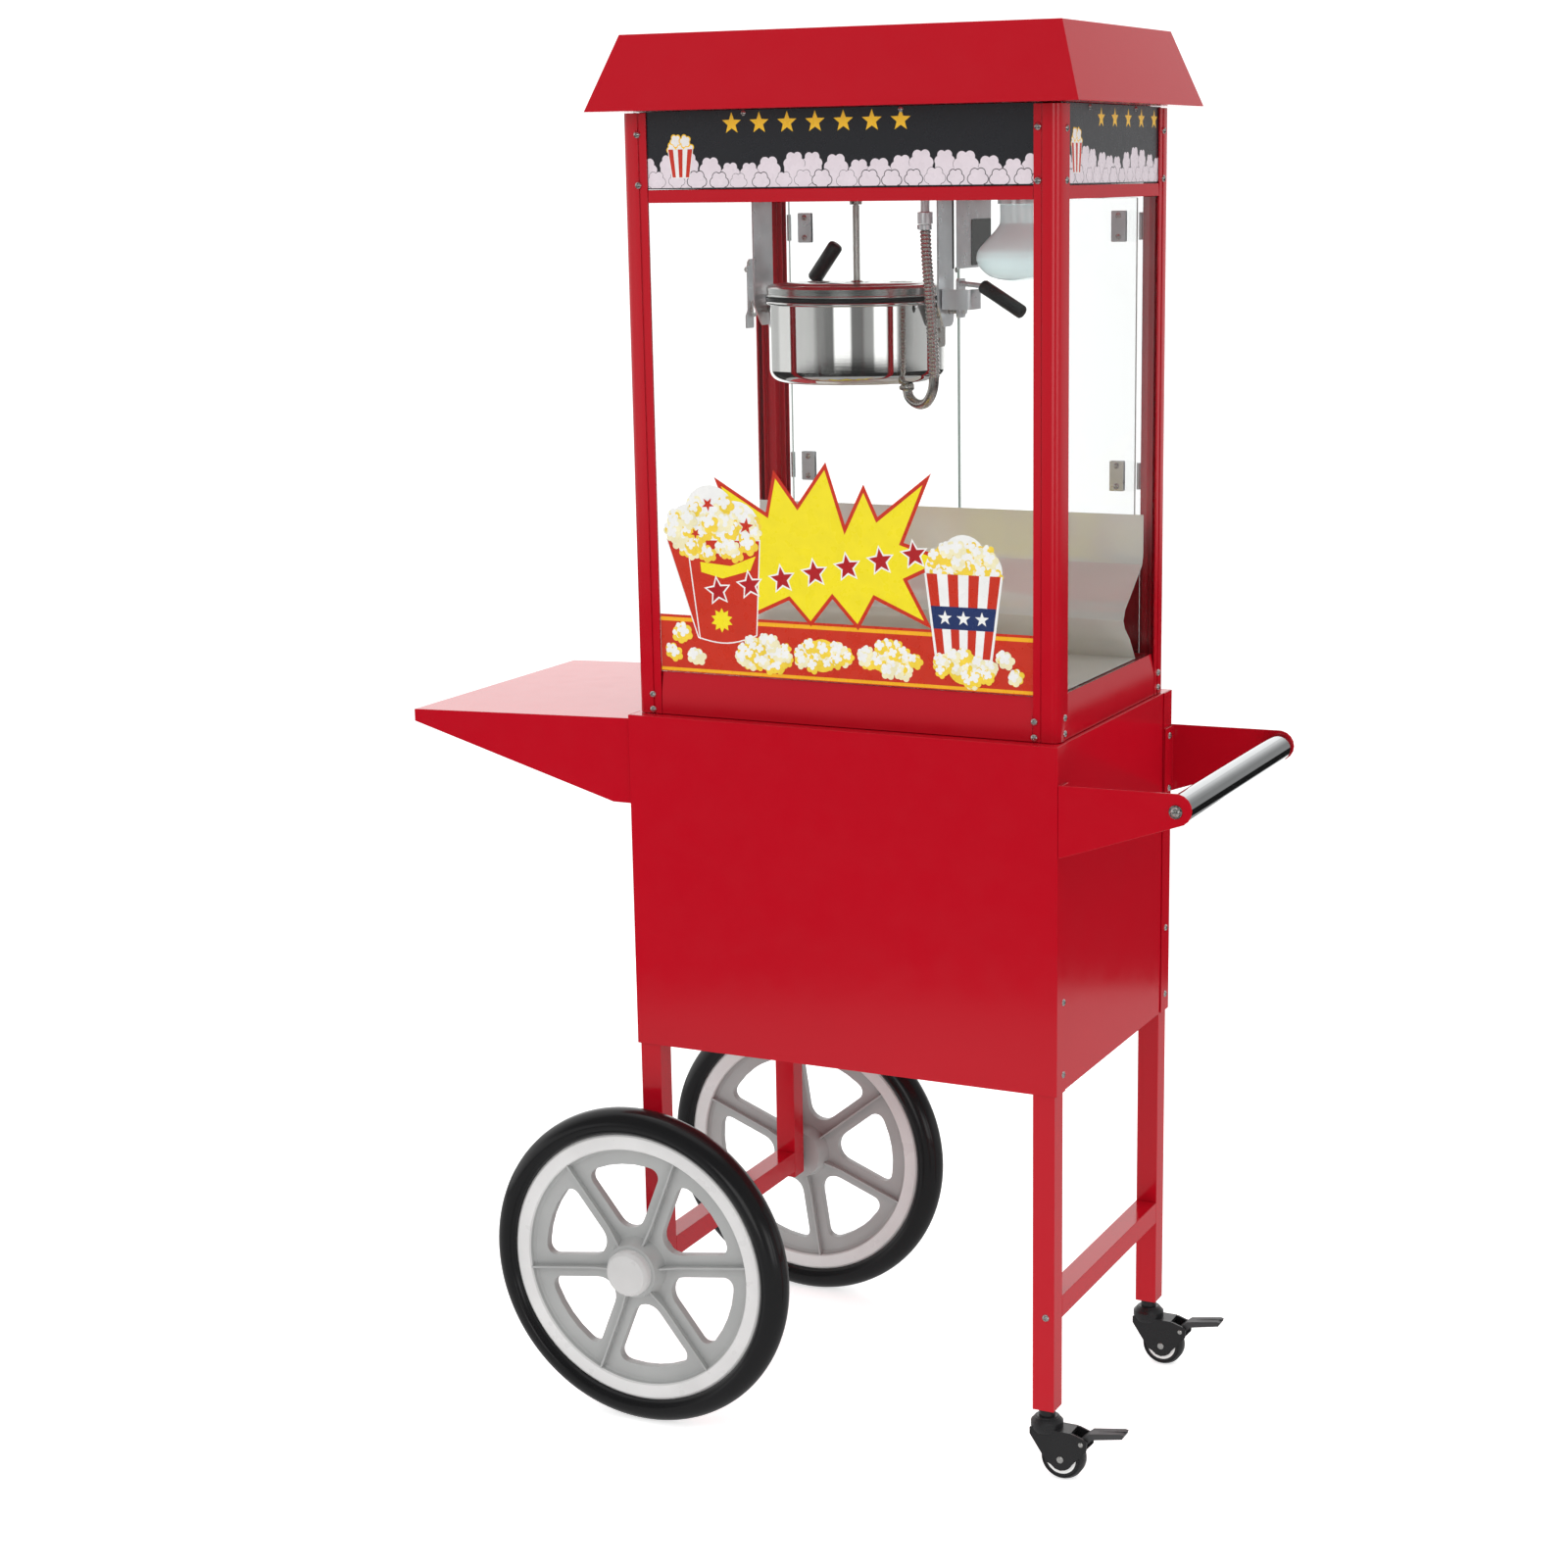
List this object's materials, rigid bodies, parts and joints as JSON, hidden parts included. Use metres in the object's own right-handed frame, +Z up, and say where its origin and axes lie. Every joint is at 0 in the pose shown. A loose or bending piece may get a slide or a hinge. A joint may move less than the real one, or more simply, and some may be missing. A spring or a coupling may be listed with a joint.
{
  "type": "popcorn cart",
  "caption": "Glazed popcorn machine with a tilting kettle on a box trolley with spoked wheels, braked casters, a side shelf and a push handle.",
  "frame": {"origin": "middle of the footprint on the ground, under the middle of the overall length and depth", "axes": "+Z up, +X towards the push handle, -X towards the side shelf and the big wheels, -Y towards the customers, +Y towards the operator and the doors"},
  "size_m": [0.94, 0.51, 1.55],
  "materials": {
    "red_paint": "glossy powder coat",
    "sign_print": "printed plastic, glossy",
    "clear_pane": "clear, polished",
    "stainless": "polished",
    "zinc": "zinc-plated sheet",
    "chrome_tube": "polished",
    "wheel_plastic": "moulded, satin",
    "tyre_rubber": "smooth, glossy",
    "black_plastic": "moulded",
    "black_grip": "phenolic grip",
    "frosted_bulb": "frosted"
  },
  "bodies": {
    "root": {"cart_floor": "red_paint", "cart_front_panel": "red_paint", "cart_rear_panel": "red_paint", "cart_side_and_top_shell": "red_paint", "conduit_plug": "zinc", "front_glass": "clear_pane", "front_left_leg": "red_paint", "front_left_post": "red_paint", "front_right_leg": "red_paint", "front_right_post": "red_paint", "front_sign": "sign_print", "handle_bracket_front": "red_paint", "handle_bracket_rear": "red_paint", "header_pan": "red_paint", "kettle_conduit": "zinc", "lamp_bracket": "zinc", "lamp_bulb": "frosted_bulb", "left_cross_bar": "red_paint", "left_glass": "clear_pane", "left_hanger": "zinc", "left_sign": "sign_print", "machine_base": "red_paint", "popcorn_tray": "stainless", "push_handle_tube": "chrome_tube", "rear_control_panel": "red_paint", "rear_left_leg": "red_paint", "rear_left_post": "red_paint", "rear_right_leg": "red_paint", "rear_right_post": "red_paint", "right_cross_bar": "red_paint", "right_glass": "clear_pane", "right_hanger": "zinc", "right_sign": "sign_print", "roof": "red_paint", "side_shelf": "red_paint", "stir_motor": "zinc", "wheel_axle": "zinc"},
    "kettle": {"kettle_pot": "stainless", "kettle_fixed_lid": "stainless", "kettle_tilt_handle": "black_grip"},
    "kettle_flap": {"kettle_flap_lid": "stainless"},
    "stirrer_rod": {"stirrer": "stainless"},
    "motor_coupling": {"drive_coupling": "stainless"},
    "left_door_leaf": {"left_door": "clear_pane"},
    "right_door_leaf": {"right_door": "clear_pane"},
    "crumb_drawer_box": {"crumb_drawer": "stainless"},
    "storage_door_leaf": {"storage_door": "red_paint"},
    "front_big_wheel": {"front_wheel": "wheel_plastic", "front_tyre": "tyre_rubber"},
    "rear_big_wheel": {"rear_wheel": "wheel_plastic", "rear_tyre": "tyre_rubber"},
    "front_caster": {"front_caster_fork": "black_plastic"},
    "rear_caster": {"rear_caster_fork": "black_plastic"},
    "front_caster_roller": {"front_caster_wheel": "black_plastic"},
    "rear_caster_roller": {"rear_caster_wheel": "black_plastic"},
    "front_brake_pedal": {"front_caster_brake": "black_plastic"},
    "rear_brake_pedal": {"rear_caster_brake": "black_plastic"},
    "heater_rocker": {"heater_switch": "black_plastic"},
    "stirrer_rocker": {"stirrer_switch": "black_plastic"},
    "lamp_rocker": {"lamp_switch": "black_plastic"}
  },
  "joints": [
    {"name": "kettle_tilt", "type": "hinge", "parent": "root", "child": "kettle", "pos_m": [0.016, 0, 1.2575], "axis": [-1, 0, 0], "range_deg": [0, 90], "deforming": ["kettle_conduit"]},
    {"name": "flap_lid_hinge", "type": "hinge", "parent": "kettle", "child": "kettle_flap", "pos_m": [0.016, 0.0125, 1.2868], "axis": [1, 0, 0], "range_deg": [0, 55]},
    {"name": "stirrer_spin", "type": "hinge", "parent": "kettle", "child": "stirrer_rod", "pos_m": [0.016, 0, 1.2575], "axis": [0, 0, 1], "continuous": true},
    {"name": "motor_spin", "type": "hinge", "parent": "root", "child": "motor_coupling", "pos_m": [0.016, 0, 1.38], "axis": [0, 0, 1], "continuous": true},
    {"name": "left_door_hinge", "type": "hinge", "parent": "root", "child": "left_door_leaf", "pos_m": [-0.1488, 0.1668, 1.2], "axis": [0, 0, 1], "range_deg": [0, 110]},
    {"name": "right_door_hinge", "type": "hinge", "parent": "root", "child": "right_door_leaf", "pos_m": [0.2868, 0.1668, 1.2], "axis": [0, 0, -1], "range_deg": [0, 110]},
    {"name": "crumb_drawer_slide", "type": "slide", "parent": "root", "child": "crumb_drawer_box", "axis": [0, 1, 0], "range_m": [0, 0.2]},
    {"name": "storage_door_hinge", "type": "hinge", "parent": "root", "child": "storage_door_leaf", "pos_m": [-0.1198, 0.182, 0.63], "axis": [0, 0, 1], "range_deg": [0, 110]},
    {"name": "front_wheel_spin", "type": "hinge", "parent": "root", "child": "front_big_wheel", "pos_m": [-0.1705, -0.2174, 0.1875], "axis": [0, 1, 0], "continuous": true},
    {"name": "front_caster_swivel", "type": "hinge", "parent": "root", "child": "front_caster", "pos_m": [0.3085, -0.168, 0.06], "axis": [0, 0, 1], "continuous": true},
    {"name": "front_caster_roll", "type": "hinge", "parent": "front_caster", "child": "front_caster_roller", "pos_m": [0.3285, -0.168, 0.025], "axis": [0, 1, 0], "continuous": true},
    {"name": "front_brake_press", "type": "hinge", "parent": "front_caster", "child": "front_brake_pedal", "pos_m": [0.3525, -0.168, 0.047], "axis": [0, 1, 0], "range_deg": [0, 14]},
    {"name": "rear_wheel_spin", "type": "hinge", "parent": "root", "child": "rear_big_wheel", "pos_m": [-0.1705, 0.2174, 0.1875], "axis": [0, 1, 0], "continuous": true},
    {"name": "rear_caster_swivel", "type": "hinge", "parent": "root", "child": "rear_caster", "pos_m": [0.3085, 0.168, 0.06], "axis": [0, 0, 1], "continuous": true},
    {"name": "rear_caster_roll", "type": "hinge", "parent": "rear_caster", "child": "rear_caster_roller", "pos_m": [0.3285, 0.168, 0.025], "axis": [0, 1, 0], "continuous": true},
    {"name": "rear_brake_press", "type": "hinge", "parent": "rear_caster", "child": "rear_brake_pedal", "pos_m": [0.3525, 0.168, 0.047], "axis": [0, 1, 0], "range_deg": [0, 14]},
    {"name": "heater_switch_rock", "type": "hinge", "parent": "root", "child": "heater_rocker", "pos_m": [0.129, 0.1627, 1.432], "axis": [1, 0, 0], "range_deg": [0, 12]},
    {"name": "stirrer_switch_rock", "type": "hinge", "parent": "root", "child": "stirrer_rocker", "pos_m": [0.164, 0.1627, 1.432], "axis": [1, 0, 0], "range_deg": [0, 12]},
    {"name": "lamp_switch_rock", "type": "hinge", "parent": "root", "child": "lamp_rocker", "pos_m": [0.199, 0.1627, 1.432], "axis": [1, 0, 0], "range_deg": [0, 12]}
  ],
  "couplings": [
    {"joint": "motor_spin", "follows": "stirrer_spin", "ratio": 1}
  ]
}
